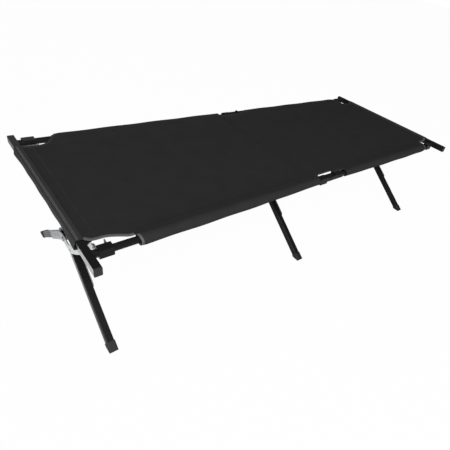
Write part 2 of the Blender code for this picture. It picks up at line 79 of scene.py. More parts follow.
MID_Y = (NEAR_RAIL_LOW.y + FAR_RAIL_HIGH.y) / 2
RAIL_Y = (FAR_RAIL_LOW.y + FAR_RAIL_HIGH.y) / 2 - MID_Y
RAIL_Z = (NEAR_RAIL_LOW.z + NEAR_RAIL_HIGH.z) / 2
RAIL_RADIUS = (NEAR_RAIL_HIGH.z - NEAR_RAIL_LOW.z) / 2
BAR_X = -(BAR_LOW.x + BAR_HIGH.x) / 2
BAR_Z = (BAR_LOW.z + BAR_HIGH.z) / 2
BAR_HALF_W = (BAR_HIGH.x - BAR_LOW.x) / 2
BAR_HALF_H = (BAR_HIGH.z - BAR_LOW.z) / 2
BAR_FACE = BAR_X - BAR_HALF_W
BED_TOP = PANEL_HIGH.z
HINGE_X = PANEL_HIGH.x
HEM_HALF = HEM_HIGH.y - MID_Y

# How the bed's side edges run: just inside the rails' middles, and on a short slant further in at
# the mid hinge
EDGE_Y = RAIL_Y - 0.0038
MID_CUT_Y = {"foot": RAIL_Y - 0.022, "head": RAIL_Y - 0.009}
MID_SLANT_START = -0.004
MID_SLANT = 0.010
# The near edge of the foot half starts and ends this far nearer to the hinge than the CAD sleeve
NEAR_FOOT_START = 0.006
NEAR_FOOT_END = 0.010
# Corner cut-outs, as pairs of shares: of the way along X from the end bar's face to the sleeve, and
# of the way along Y from the hem's end out to the bed's edge. Below 0 the cut-out goes further in.
CORNER_ARCS = {
    "near_foot": (
        (0.0, 0.0), (0.05, 0.14), (0.12, 0.27), (0.20, 0.31), (0.30, 0.325), (0.41, 0.34),
        (0.51, 0.42), (0.61, 0.54), (0.70, 0.67), (0.77, 0.79), (0.83, 0.90), (0.88, 0.97),
        (0.93, 1.0)),
    "far_foot": (
        (0.0, 0.0), (0.08, -0.02), (0.16, -0.06), (0.28, -0.08), (0.40, -0.10), (0.52, -0.09),
        (0.60, -0.05), (0.69, 0.05), (0.77, 0.20), (0.84, 0.42), (0.90, 0.68), (0.95, 0.90),
        (0.98, 1.0)),
    "near_head": (
        (0.0, 0.0), (0.06, 0.09), (0.12, 0.16), (0.19, 0.22), (0.26, 0.265), (0.35, 0.30),
        (0.43, 0.33), (0.52, 0.36), (0.62, 0.38), (0.72, 0.39), (0.80, 0.41), (0.87, 0.48),
        (0.92, 0.61), (0.96, 0.80), (0.99, 1.0)),
    "far_head": (
        (0.0, 0.0), (0.06, -0.10), (0.12, -0.20), (0.20, -0.32), (0.30, -0.42), (0.42, -0.50),
        (0.54, -0.52), (0.64, -0.42), (0.72, -0.25), (0.80, 0.0), (0.87, 0.35), (0.93, 0.75),
        (0.97, 1.0)),
}

# Gap that the cloth keeps to the metal which it goes round
BAR_EASE = 0.0005
RAIL_EASE = 0.0004
# Points that guide a row of stitches
STITCH_POINTS = 60
# Faces that meet at less than this are shaded as one surface
SMOOTH_ANGLE = math.radians(40)

# Colours as they look in daylight; tape, hem, sleeve and thread colours also hold painted light
CLOTH_HEX = "#262626"
# Pale tape: painted light, for the near corners' tape and the sleeves' open ends
LIT_TAPE_HEX = "#585858"
# Hem lighter than the bed cloth: painted light on the hem; as tape, it is painted shade
LIT_HEM_HEX = "#303030"
# Sleeves a little lighter than the bed cloth: painted light on the cloth round the rails
LIT_SLEEVE_HEX = "#292929"
# Pale thread: the hem's top stitching, also a painted highlight along the hem's top edge
THREAD_HEX = "#787878"
# Very dark thread: the seams, also painted shadow along the bed seam's lap and the hem's seam
DARK_THREAD_HEX = "#0e0e0e"
PAINT_HEX = "#161617"
ZINC_HEX = "#8e9092"
PLASTIC_HEX = "#272728"
PLUG_HEX = "#1c1c1d"

# The feet are the same dark plastic as the rail plugs
FEET = tuple("leg_%s_%s_foot" % (leg, station)
             for leg in "ab" for station in ("foot", "mid", "head"))

# White floor: its size, the light that it gives back, how bright reflections see it, and how much
# of its shadow the camera sees
FLOOR_SIZE = 60
PAPER_GREY = 0.6
MIRRORED_SHARE = 0.6
FLOOR_SHADOW = 0.02
# Light of the world, which the camera sees as white
WORLD_LIGHT = 0.12
# Area lamps: name, place, aim, size in metres, watts. The low glow lies on the floor beyond the
# foot end, and lights the plates there from below as white paper does.
LAMPS = (
    ("soft_key", (-2.4, -3.9, 4.2), (0, 0, 0.3), (3.0, 3.0), 440.0),
    ("back_panel", (-0.6, 4.6, 2.0), (0, 0, 0.3), (4.0, 2.0), 16.0),
    ("low_glow", (-1.52, -0.1, 0.012), (-1.52, -0.1, 1.0), (1.1, 0.7), 5.5),
)

# Camera: angles in radians, lens and centre in pixels of a square picture
CAMERA_PLACE = (-1.1756, MID_Y - 1.0955, 1.1479)
CAMERA_YAW = 0.8436
CAMERA_PITCH = 0.6017
CAMERA_ROLL = 0.2250
CAMERA_FOCAL_PX = 379.2231
CAMERA_CENTRE_PX = (264.0402, 213.4111)
CAMERA_CLIP = 0.01
IMAGE_PX = 450
SENSOR_MM = 36.0

# A row of points across the bed: z is None where the row lies on the bed itself, near and far are
# the half widths, and way is the distance along the cloth
Station = namedtuple("Station", "x z near far way")


def linear_colour(code):
    """sRGB hex to linear RGBA."""
    values = [int(code[i:i + 2], 16) / 255 for i in (1, 3, 5)]
    linear = [v / 12.92 if v <= 0.04045 else ((v + 0.055) / 1.055) ** 2.4 for v in values]
    return (*linear, 1.0)


def toned(colour, share):
    """A linear colour made darker or lighter."""
    return (colour[0] * share, colour[1] * share, colour[2] * share, 1.0)


class CotCoverSizes(bpy.types.PropertyGroup):
    """Sizes of the cloth cover."""
    cloth: bpy.props.FloatProperty(
        name="Cloth", description="Thickness of the cloth", default=0.0012, unit="LENGTH")
    hem_seam: bpy.props.FloatProperty(
        name="Hem seam", description="From the end bar's middle to the hem seam",
        default=0.044, unit="LENGTH")
    sleeve_seam: bpy.props.FloatProperty(
        name="Sleeve seam", description="From the rail's middle to the sleeve seam",
        default=0.034, unit="LENGTH")
    tape: bpy.props.FloatProperty(
        name="Tape", description="Width of the binding tape on the cut-outs",
        default=0.010, unit="LENGTH")
    stitch: bpy.props.FloatProperty(
        name="Stitch", description="Pitch of the sewing", default=0.0045, unit="LENGTH")
    puff: bpy.props.FloatProperty(
        name="Puff", description="How loose the sleeves lie round the rails",
        default=0.0062, unit="LENGTH")
    sag: bpy.props.FloatProperty(
        name="Sag", description="Dip of the bed between the rails", default=0.002, unit="LENGTH")
    dip: bpy.props.FloatProperty(
        name="Dip", description="How far the bed lies below the hem's top",
        default=0.003, unit="LENGTH")
    seam_x: bpy.props.FloatProperty(
        name="Seam place", description="Place of the seam across the bed",
        default=-0.062, unit="LENGTH")
    lap: bpy.props.FloatProperty(
        name="Lap", description="Overlap of the seam across the bed", default=0.013, unit="LENGTH")


class CotColours(bpy.types.PropertyGroup):
    """Colours of the finishes."""
    cloth: bpy.props.FloatVectorProperty(
        name="Cloth", description="Woven polyester", subtype="COLOR", size=4,
        default=linear_colour(CLOTH_HEX))
    # The tape's pale colour is painted light on the near corners and sleeve ends
    tape: bpy.props.FloatVectorProperty(
        name="Tape", description="Binding tape", subtype="COLOR", size=4,
        default=linear_colour(LIT_TAPE_HEX))
    paint: bpy.props.FloatVectorProperty(
        name="Paint", description="Gloss paint on the tubes", subtype="COLOR", size=4,
        default=linear_colour(PAINT_HEX))
    zinc: bpy.props.FloatVectorProperty(
        name="Zinc", description="Zinc plated plates", subtype="COLOR", size=4,
        default=linear_colour(ZINC_HEX))
    plastic: bpy.props.FloatVectorProperty(
        name="Plastic", description="Moulded caps on the end bars", subtype="COLOR", size=4,
        default=linear_colour(PLASTIC_HEX))


def add_node(tree, kind, settings=None, links=None):
    """Adds a node: settings are its values or socket defaults, links the sockets that feed it."""
    node = tree.nodes.new(kind)
    for key, value in (settings or {}).items():
        if key in node.inputs:
            node.inputs[key].default_value = value
        else:
            setattr(node, key, value)
    for key, source in (links or {}).items():
        tree.links.new(source, node.inputs[key])
    return node


def new_material(name):
    """Material with its node tree and its own shader."""
    mat = bpy.data.materials.new(name)
    mat.use_nodes = True
    tree = mat.node_tree
    return mat, tree, tree.nodes["Principled BSDF"]


def painted_steel(name, colour):
    """Gloss enamel sprayed on steel tube: deep black with soft highlights, slightly uneven from
    orange peel and handling."""
    peel_scale = 450.0      # orange peel, about 2.2 mm
    dust_scale = 30.0       # duller and glossier places, about 33 mm
    rough_low, rough_high = 0.24, 0.36
    mat, tree, shader = new_material(name)
    place = add_node(tree, "ShaderNodeTexCoord")
    peel = add_node(tree, "ShaderNodeTexNoise", {"Scale": peel_scale, "Detail": 2.0},
                    {"Vector": place.outputs["Object"]})
    bump = add_node(tree, "ShaderNodeBump", {"Strength": 0.06, "Distance": 0.0003},
                    {"Height": peel.outputs["Fac"]})
    dust = add_node(tree, "ShaderNodeTexNoise", {"Scale": dust_scale, "Detail": 5.0},
                    {"Vector": place.outputs["Object"]})
    spread = add_node(tree, "ShaderNodeMapRange", {"To Min": rough_low, "To Max": rough_high},
                      {"Value": dust.outputs["Fac"]})
    shader.inputs["Base Color"].default_value = colour
    shader.inputs["Specular IOR Level"].default_value = 0.1
    tree.links.new(spread.outputs["Result"], shader.inputs["Roughness"])
    tree.links.new(bump.outputs["Normal"], shader.inputs["Normal"])
    return mat


def zinc_plate(name, colour):
    """Zinc plating on punched steel plate: a soft bright grey, with the sheet's rolling grain and a
    cloudy film. The real grain is too fine to show, so it is drawn about 1.1 mm wide."""
    grain_scale = 900.0
    grain_stretch = (1.0, 0.12, 1.0)
    cloud_scale = 60.0      # clouds of the film, about 17 mm
    rough_low, rough_high = 0.42, 0.56
    mat, tree, shader = new_material(name)
    place = add_node(tree, "ShaderNodeTexCoord")
    stretch = add_node(tree, "ShaderNodeMapping", {"Scale": grain_stretch},
                       {"Vector": place.outputs["Object"]})
    grain = add_node(tree, "ShaderNodeTexNoise", {"Scale": grain_scale, "Detail": 3.0},
                     {"Vector": stretch.outputs["Vector"]})
    cloud = add_node(tree, "ShaderNodeTexNoise", {"Scale": cloud_scale, "Detail": 4.0},
                     {"Vector": place.outputs["Object"]})
    tint = add_node(tree, "ShaderNodeMix", {"data_type": "RGBA"}, {"Factor": cloud.outputs["Fac"]})
    tint.inputs["A"].default_value = toned(colour, 0.86)
    tint.inputs["B"].default_value = colour
    spread = add_node(tree, "ShaderNodeMapRange", {"To Min": rough_low, "To Max": rough_high},
                      {"Value": grain.outputs["Fac"]})
    bump = add_node(tree, "ShaderNodeBump", {"Strength": 0.1, "Distance": 0.0002},
                    {"Height": grain.outputs["Fac"]})
    shader.inputs["Metallic"].default_value = 0.6
    tree.links.new(tint.outputs["Result"], shader.inputs["Base Color"])
    tree.links.new(spread.outputs["Result"], shader.inputs["Roughness"])
    tree.links.new(bump.outputs["Normal"], shader.inputs["Normal"])
    return mat


def moulded_plastic(name, colour):
    """Injection moulded polypropylene: dull, with a fine spark-eroded grain. The real grain is too
    fine to show, so it is drawn about 0.7 mm wide."""
    grain_scale = 1400.0
    mat, tree, shader = new_material(name)
    place = add_node(tree, "ShaderNodeTexCoord")
    grain = add_node(tree, "ShaderNodeTexNoise", {"Scale": grain_scale, "Detail": 2.0},
                     {"Vector": place.outputs["Object"]})
    bump = add_node(tree, "ShaderNodeBump", {"Strength": 0.25, "Distance": 0.0003},
                    {"Height": grain.outputs["Fac"]})
    shader.inputs["Base Color"].default_value = colour
    shader.inputs["Roughness"].default_value = 0.55
    shader.inputs["Specular IOR Level"].default_value = 0.25
    tree.links.new(bump.outputs["Normal"], shader.inputs["Normal"])
    return mat


def woven_cloth(name, colour, thread=0.0012, depth=0.35):
    """Plain-woven coated polyester: matt, with an even weave, slubs and slightly uneven dye. Its
    0.5 mm threads are drawn about 1 mm wide so that the weave shows."""
    slub_scale = 260.0      # thicker places in the yarn, about 4 mm
    wear_scale = 14.0       # uneven dye, about 70 mm
    mat, tree, shader = new_material(name)
    place = add_node(tree, "ShaderNodeUVMap", {"uv_map": "Cloth"})
    split = add_node(tree, "ShaderNodeSeparateXYZ", None, {"Vector": place.outputs["UV"]})
    waves = []
    for axis in ("X", "Y"):
        phase = add_node(tree, "ShaderNodeMath", {"operation": "MULTIPLY"},
                         {0: split.outputs[axis]})
        phase.inputs[1].default_value = math.pi / thread
        wave = add_node(tree, "ShaderNodeMath", {"operation": "SINE"}, {0: phase.outputs["Value"]})
        waves.append(wave.outputs["Value"])
    weave = add_node(tree, "ShaderNodeMath", {"operation": "MULTIPLY"}, {0: waves[0], 1: waves[1]})
    slub = add_node(tree, "ShaderNodeTexNoise", {"Scale": slub_scale, "Detail": 3.0},
                    {"Vector": place.outputs["UV"]})
    height = add_node(tree, "ShaderNodeMath", {"operation": "ADD"},
                      {0: weave.outputs["Value"], 1: slub.outputs["Fac"]})
    bump = add_node(tree, "ShaderNodeBump", {"Strength": depth, "Distance": 0.0004},
                    {"Height": height.outputs["Value"]})
    wear = add_node(tree, "ShaderNodeTexNoise", {"Scale": wear_scale, "Detail": 6.0},
                    {"Vector": place.outputs["UV"]})
    shade = add_node(tree, "ShaderNodeMix", {"data_type": "RGBA"}, {"Factor": wear.outputs["Fac"]})
    shade.inputs["A"].default_value = toned(colour, 0.82)
    shade.inputs["B"].default_value = toned(colour, 1.15)
    shader.inputs["Roughness"].default_value = 0.9
    shader.inputs["Specular IOR Level"].default_value = 0.12
    tree.links.new(shade.outputs["Result"], shader.inputs["Base Color"])
    tree.links.new(bump.outputs["Normal"], shader.inputs["Normal"])
    return mat


def sewing_thread(name, colour):
    """Bonded nylon thread: twisted strands that shine a little against the cloth."""
    twist_scale = 700.0     # strands, about 0.9 mm apart
    lint_scale = 90.0       # duller lengths, about 11 mm
    mat, tree, shader = new_material(name)
    place = add_node(tree, "ShaderNodeTexCoord")
    twist = add_node(tree, "ShaderNodeTexWave",
                     {"wave_type": "BANDS", "bands_direction": "DIAGONAL", "Scale": twist_scale},
                     {"Vector": place.outputs["Object"]})
    lint = add_node(tree, "ShaderNodeTexNoise", {"Scale": lint_scale, "Detail": 3.0},
                    {"Vector": place.outputs["Object"]})
    shade = add_node(tree, "ShaderNodeMix", {"data_type": "RGBA"}, {"Factor": lint.outputs["Fac"]})
    shade.inputs["A"].default_value = toned(colour, 0.75)
    shade.inputs["B"].default_value = colour
    bump = add_node(tree, "ShaderNodeBump", {"Strength": 0.3, "Distance": 0.0002},
                    {"Height": twist.outputs["Fac"]})
    shader.inputs["Roughness"].default_value = 0.5
    tree.links.new(shade.outputs["Result"], shader.inputs["Base Color"])
    tree.links.new(bump.outputs["Normal"], shader.inputs["Normal"])
    return mat


def studio_white(name):
    """Matt paper: pure white to the camera but for a faint shadow, and pale grey to mirrors."""
    mat, tree, shader = new_material(name)
    tree.nodes.remove(shader)
    paper = add_node(tree, "ShaderNodeBsdfDiffuse",
                     {"Color": (PAPER_GREY, PAPER_GREY, PAPER_GREY, 1.0)})
    glow = add_node(tree, "ShaderNodeEmission", {"Color": (1.0, 1.0, 1.0, 1.0), "Strength": 1.0})
    ray = add_node(tree, "ShaderNodeLightPath")
    mirrored = add_node(tree, "ShaderNodeMath", {"operation": "MULTIPLY"},
                        {0: ray.outputs["Is Glossy Ray"]})
    mirrored.inputs[1].default_value = MIRRORED_SHARE
    seen = add_node(tree, "ShaderNodeMath", {"operation": "MAXIMUM"},
                    {0: ray.outputs["Is Camera Ray"], 1: mirrored.outputs["Value"]})
    seen = add_node(tree, "ShaderNodeMath", {"operation": "MAXIMUM"},
                    {0: seen.outputs["Value"], 1: ray.outputs["Is Transmission Ray"]})
    amount = add_node(tree, "ShaderNodeMath", {"operation": "MULTIPLY"}, {0: seen.outputs["Value"]})
    amount.inputs[1].default_value = 1.0 - FLOOR_SHADOW
    mix = add_node(tree, "ShaderNodeMixShader", None,
                   {0: amount.outputs["Value"], 1: paper.outputs["BSDF"],
                    2: glow.outputs["Emission"]})
    tree.links.new(mix.outputs["Shader"], tree.nodes["Material Output"].inputs["Surface"])
    return mat


def pale_world(name):
    """World that is white to the camera and gives a little light from all sides."""
    world = bpy.data.worlds.new(name)
    world.use_nodes = True
    tree = world.node_tree
    ray = add_node(tree, "ShaderNodeLightPath")
    strength = add_node(tree, "ShaderNodeMapRange", {"To Min": WORLD_LIGHT, "To Max": 1.0},
                        {"Value": ray.outputs["Is Camera Ray"]})
    background = tree.nodes["Background"]
    background.inputs["Color"].default_value = (1.0, 1.0, 1.0, 1.0)
    tree.links.new(strength.outputs["Result"], background.inputs["Strength"])
    return world


def photo_camera(name):
    """Camera at the photograph's viewing angle."""
    forward = Vector((math.sin(CAMERA_YAW) * math.cos(CAMERA_PITCH),
                      math.cos(CAMERA_YAW) * math.cos(CAMERA_PITCH), -math.sin(CAMERA_PITCH)))
    level = Vector((math.cos(CAMERA_YAW), -math.sin(CAMERA_YAW), 0.0))
    rise = level.cross(forward)
    right = math.cos(CAMERA_ROLL) * level + math.sin(CAMERA_ROLL) * rise
    up = -math.sin(CAMERA_ROLL) * level + math.cos(CAMERA_ROLL) * rise
    bpy.ops.object.camera_add(location=CAMERA_PLACE)
    camera = bpy.context.object
    camera.name = name
    camera.rotation_euler = Matrix((right, up, -forward)).transposed().to_euler()
    camera.data.sensor_width = SENSOR_MM
    camera.data.sensor_fit = "HORIZONTAL"
    camera.data.lens = CAMERA_FOCAL_PX * SENSOR_MM / IMAGE_PX
    camera.data.shift_x = (IMAGE_PX / 2 - CAMERA_CENTRE_PX[0]) / IMAGE_PX
    camera.data.shift_y = (CAMERA_CENTRE_PX[1] - IMAGE_PX / 2) / IMAGE_PX
    camera.data.clip_start = CAMERA_CLIP
    return camera


def clear_selection():
    """Leaves edit mode and deselects everything."""
    if bpy.context.object and bpy.context.object.mode != "OBJECT":
        bpy.ops.object.mode_set(mode="OBJECT")
    bpy.ops.object.select_all(action="DESELECT")


def make_active(obj):
    """Selects obj alone and makes it the active object."""
    clear_selection()
    obj.select_set(True)
    bpy.context.view_layer.objects.active = obj


def new_piece(name, verts, faces, materials):
    """Mesh object at the origin, with a UV map for the weave."""
    mesh = bpy.data.meshes.new(name)
    mesh.from_pydata([tuple(v) for v in verts], [], faces)
    mesh.uv_layers.new(name="Cloth")
    for mat in materials:
        mesh.materials.append(mat)
    obj = bpy.data.objects.new(name, mesh)
    bpy.context.scene.collection.objects.link(obj)
    return obj


def lay_weave(obj, uv):
    """Fills the UV map of a piece whose points were made row by row, from one pair for each."""
    mesh, count = obj.data, len(uv[0])
    layer = mesh.uv_layers["Cloth"]
    for loop in mesh.loops:
        i, j = divmod(loop.vertex_index, count)
        layer.data[loop.index].uv = uv[i][j]


def turn_outwards(obj):
    """Makes the faces of a sheet agree, and those of a closed form point out."""
    make_active(obj)
    bpy.ops.object.mode_set(mode="EDIT")
    bpy.ops.mesh.select_all(action="SELECT")
    bpy.ops.mesh.normals_make_consistent(inside=False)
    bpy.ops.object.mode_set(mode="OBJECT")


def join_into(obj, others):
    """Joins other pieces into obj."""
    make_active(obj)
    for other in others:
        other.select_set(True)
    bpy.ops.object.join()


def cloth_strip(name, rows, uv, thickness, materials, first_rows):
    """Sheet through rows of points, given its thickness. The first rows of faces take the second
    material, and the weave follows the metres along the cloth in uv."""
    count = len(rows[0])
    faces = []
    for i in range(len(rows) - 1):
        for j in range(count - 1):
            a = i * count + j
            faces.append((a, a + 1, a + count + 1, a + count))
    obj = new_piece(name, [p for row in rows for p in row], faces, materials)
    lay_weave(obj, uv)
    for poly in obj.data.polygons:
        poly.material_index = 1 if poly.index < first_rows * (count - 1) else 0
    turn_outwards(obj)
    wall = obj.modifiers.new("Solidify", "SOLIDIFY")
    wall.thickness = thickness
    wall.offset = 0.0
    wall.use_rim = True
    wall.use_even_offset = True
    bpy.ops.object.modifier_apply(modifier=wall.name)
    bpy.ops.object.shade_smooth_by_angle(angle=SMOOTH_ANGLE)
    return obj


def stitch_row(name, line, sizes, mat):
    """One row of lock stitches along a line of points, each a low closed bridge on the cloth."""
    half = sizes.stitch * 0.33
    half_width = 0.0006
    top, end, root = 0.0004, -0.0003, -0.0006
    profile = ((-half, end), (-half * 0.5, top), (half * 0.5, top), (half, end))
    verts, faces = [], []
    travelled, target = 0.0, sizes.stitch / 2
    for a, b in zip(line, line[1:]):
        a, b = Vector(a), Vector(b)
        length = (b - a).length
        direction = (b - a).normalized()
        side = direction.cross(UP).normalized() * half_width
        while target <= travelled + length:
            p = a + direction * (target - travelled)
            base = len(verts)
            for shift, lift in profile:
                for s in (-1, 1):
                    verts.append(p + direction * shift + side * s + Vector((0, 0, lift)))
            for s in (-1, 1):
                verts.append(p + direction * half * s + Vector((0, 0, root)))
            for k in range(3):
                q = base + 2 * k
                faces.append((q, q + 2, q + 3, q + 1))
            low_a, low_b = base + 8, base + 9
            faces.append((base, base + 1, low_a))
            faces.append((base + 7, base + 6, low_b))
            faces.append((low_a, low_b, base + 6, base + 4, base + 2, base))
            faces.append((low_b, low_a, base + 1, base + 3, base + 5, base + 7))
            target += sizes.stitch
        travelled += length
    return new_piece(name, verts, faces, [mat])


def binding_tape(name, line, sizes, mat):
    """Tape folded over a cloth edge: a flat closed band, with most of its width on the cloth. The
    cloth lies on the left of the way along the line."""
    width, thick = sizes.tape, sizes.cloth / 2 + 0.0007
    fold, shoulder, bevel = 0.0008, 0.0004, 0.001
    section = ((fold, 0.0), (shoulder, thick * 0.8), (-fold, thick), (-width + bevel, thick),
               (-width, thick * 0.4), (-width, -thick * 0.4), (-width + bevel, -thick),
               (-fold, -thick), (shoulder, -thick * 0.8))
    weave_step = 0.0012
    count = len(section)
    verts, uv = [], []
    travelled = 0.0
    for i, p in enumerate(line):
        a, b = Vector(line[max(i - 1, 0)]), Vector(line[min(i + 1, len(line) - 1)])
        outward = (b - a).normalized().cross(UP).normalized()
        if i:
            travelled += (Vector(p) - Vector(line[i - 1])).length
        verts += [Vector(p) + outward * s[0] + Vector((0, 0, s[1])) for s in section]
        uv.append([(travelled, weave_step * k) for k in range(count)])
    faces = []
    for i in range(len(line) - 1):
        for j in range(count):
            k = (j + 1) % count
            faces.append((i * count + j, i * count + k, (i + 1) * count + k, (i + 1) * count + j))
    faces.append(tuple(range(count))[::-1])
    faces.append(tuple(range(len(verts) - count, len(verts))))
    obj = new_piece(name, verts, faces, [mat])
    lay_weave(obj, uv)
    turn_outwards(obj)
    bpy.ops.object.shade_smooth_by_angle(angle=SMOOTH_ANGLE)
    return obj


def edge_span(half, side):
    """Where a side edge starts and ends: distance along X to its corner cut-out's end, and X of
    its mid cut-out."""
    low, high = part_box(side + "_" + half + "_sleeve")
    if half == "head":
        return high.x, low.x
    if side == "near":
        return -low.x - NEAR_FOOT_START, high.x + NEAR_FOOT_END
    return -low.x, high.x


def edge_half(x, half, side):
    """Half width of the bed at x: corner cut-out, rail edge, then the cut-out at the mid hinge."""
    e = HALVES[half]
    sleeve_end, mid_end = edge_span(half, side)
    mid_cut = MID_CUT_Y[half]
    to_mid = e * (x - mid_end)
    if to_mid < MID_SLANT_START:
        return mid_cut
    if to_mid < MID_SLANT_START + MID_SLANT:
        return mid_cut + (EDGE_Y - mid_cut) * (to_mid - MID_SLANT_START) / MID_SLANT
    t = (BAR_FACE - e * x) / (BAR_FACE - sleeve_end)
    arc = CORNER_ARCS[side + "_" + half]
    for (ta, va), (tb, vb) in zip(arc, arc[1:]):
        if t <= tb:
            return HEM_HALF + (EDGE_Y - HEM_HALF) * (va + (vb - va) * (t - ta) / (tb - ta))
    return EDGE_Y


def hem_path(half, sizes):
    """Section of the hem in X and Z: from its seam under the bed down to the bar, round it and over
    its top."""
    grow = BAR_EASE + sizes.cloth / 2
    half_w = BAR_HALF_W + grow
    half_h = BAR_HALF_H + grow
    radius, step = 0.0036, 22.5
    # The lower flap runs from just under the bed to the bar's lower inner corner
    under_bed, turn_in, turn_up = 0.0034, 0.001, 0.0012
    seam_x, seam_z = BAR_X - sizes.hem_seam, BED_TOP - under_bed - sizes.dip
    turn_x, turn_z = BAR_X - half_w + turn_in, BAR_Z - half_h + turn_up
    points = [(seam_x + (turn_x - seam_x) * t, seam_z + (turn_z - seam_z) * t)
              for t in (0.0, 0.25, 0.5, 0.75)]
    # Four rounded corners: the flap joins the first one, and the bed leaves the last one, part of
    # the way round
    for start, sx, sz, steps in ((180, -1, -1, range(2, 5)), (270, 1, -1, range(5)),
                                 (0, 1, 1, range(5)), (90, -1, 1, range(3))):
        for k in steps:
            a = math.radians(start + step * k)
            points.append((BAR_X + sx * (half_w - radius) + radius * math.cos(a),
                           BAR_Z + sz * (half_h - radius) + radius * math.sin(a)))
    return [(HALVES[half] * x, z) for x, z in points]


def hem_flare(x, y, z, half):
    """A point of the hem: its lower outer edge waves a little, and stands off the bar near the
    corners."""
    e = HALVES[half]
    flat_half, wave_height = 0.15, 0.0006
    reach = 0.0055 if y < MID_Y else 0.0035
    end = max(0.0, (abs(y - MID_Y) - flat_half) / (HEM_HALF - flat_half)) ** 1.5
    low = max(0.0, (BAR_Z + BAR_HALF_H - z) / (2 * BAR_HALF_H)) if e * x > BAR_X else 0.0
    ripple = wave_height * math.sin(y * 52.0) * low
    return (x + e * (reach * end * min(low, 1.0) + ripple), y, z)


def sleeve_puff(x, side, sizes):
    """Slack of a sleeve round its rail: drawn in towards the end bar and, on the near side, at the
    mid hinge."""
    end_x, end_length, end_share = 0.845, 0.05, 0.45
    hinge_x, hinge_length = 0.02, 0.30
    end = min(max((end_x - abs(x)) / end_length, 0.0), 1.0)
    hinge = 0.7 * math.exp(-((x - hinge_x) / hinge_length) ** 2) if side == "near" else 0.0
    wave = 1 + 0.10 * math.sin(x * 31 + 1.3)
    return sizes.puff * (end_share + (1 - end_share) * end) * (1 - hinge) * wave


def bed_height(x, y, sizes):
    """Height of the middle of the cloth at a place on the bed."""
    y = y - MID_Y
    inwards = BAR_FACE - abs(x)
    # Sag between the rails and the bars
    across = 1 - min(abs(y) / MID_CUT_Y["foot"], 1.0) ** 2
    along = 1 - min(abs(x) / BAR_X, 1.0) ** 4
    sag = sizes.sag * across * along
    # Shallow pulls near the rails and near the hems, and the lap of the seam across the bed
    pull_height, ease_height, lap_height = 0.0004, 0.0003, 0.0014
    pull = pull_height * math.sin(x * 41 + math.sin(y * 9)) * max(0.0, abs(y) / RAIL_Y - 0.35)
    ease = ease_height * math.sin(y * 37 + 2.0 * math.sin(x * 7)) * max(0.0, abs(x) / BAR_X - 0.4)
    lap = lap_height if abs(x - sizes.seam_x) < sizes.lap / 2 else 0.0
    # Step down from the hem, which fades towards the corners
    step_length, corner, below_top = 0.012, HEM_HALF + 0.01, 0.0011
    dip = (sizes.dip * (1 - math.exp(-max(inwards, 0.0) / step_length))
           * max(0.0, 1 - (abs(y) / corner) ** 6))
    middle = BED_TOP - below_top - sizes.cloth / 2 - sag + pull + ease + lap - dip
    # Rise beside the rails, where the loose sleeves lift it, fading towards the end bars
    rise_width, rise_length = 0.075, 0.09
    near_rail = max(0.0, 1 - (RAIL_Y - abs(y)) / rise_width)
    clear = min(max(inwards / rise_length, 0.0), 1.0)
    lift = sleeve_puff(x, "near" if y < 0 else "far", sizes) * 0.9 + sizes.dip * 0.5
    return middle + lift * near_rail ** 1.6 * clear


def bed_stations(half, sizes):
    """Rows across one half of the bed, from the hem's lower seam round the bar to the mid hinge,
    and how many of them are the hem's."""
    e = HALVES[half]
    path = hem_path(half, sizes)
    stations, travelled = [], 0.0
    for i, (x, z) in enumerate(path):
        if i:
            travelled += math.hypot(x - path[i - 1][0], z - path[i - 1][1])
        stations.append(Station(x, z, HEM_HALF, HEM_HALF, travelled))
    # Close rows along the corner cut-outs, wider ones on to the hinge, and rows on the slants of
    # the mid cut-outs and on both sides of the seam's steps
    first, pitch, close_rows, wide_rows, step = 0.002, 0.0055, 22, 64, 0.0003
    slant_rows = (0.006, 0.004, 0.002, 0.0, -0.002, -0.004)
    marks = [BAR_FACE - first - pitch * k for k in range(close_rows)]
    marks += list(np.linspace(marks[-1], e * HINGE_X, wide_rows))[1:]
    for side in SIDES:
        mid_end = e * edge_span(half, side)[1]
        marks += [mid_end + d for d in slant_rows]
    if half == "foot":
        for d in (-sizes.lap / 2, sizes.lap / 2):
            marks += [e * (sizes.seam_x + d - step), e * (sizes.seam_x + d + step)]
    for mark in sorted(set(round(m, 5) for m in marks), reverse=True):
        x = e * mark
        travelled += abs(x - stations[-1].x)
        stations.append(Station(x, None, edge_half(x, half, "near"), edge_half(x, half, "far"),
                                travelled))
    return stations, len(path)


def bed_grid(stations, half, sizes):
    """Points and weave of one half of the bed. Its columns lie closer towards the side edges."""
    closer, count = 0.35, 45
    columns = [math.sin(math.pi / 2 * t) * closer + t * (1 - closer)
               for t in np.linspace(-1, 1, count)]
    rows, uv = [], []
    for row in stations:
        ys = [MID_Y + c * (row.near if c < 0 else row.far) for c in columns]
        if row.z is None:
            rows.append([(row.x, y, bed_height(row.x, y, sizes)) for y in ys])
        else:
            rows.append([hem_flare(row.x, y, row.z, half) for y in ys])
        uv.append([(row.way, y) for y in ys])
    return rows, uv


def on_cloth(x, y, sizes):
    """A point on the upper side of the bed cloth."""
    return (x, y, bed_height(x, y, sizes) + sizes.cloth / 2)


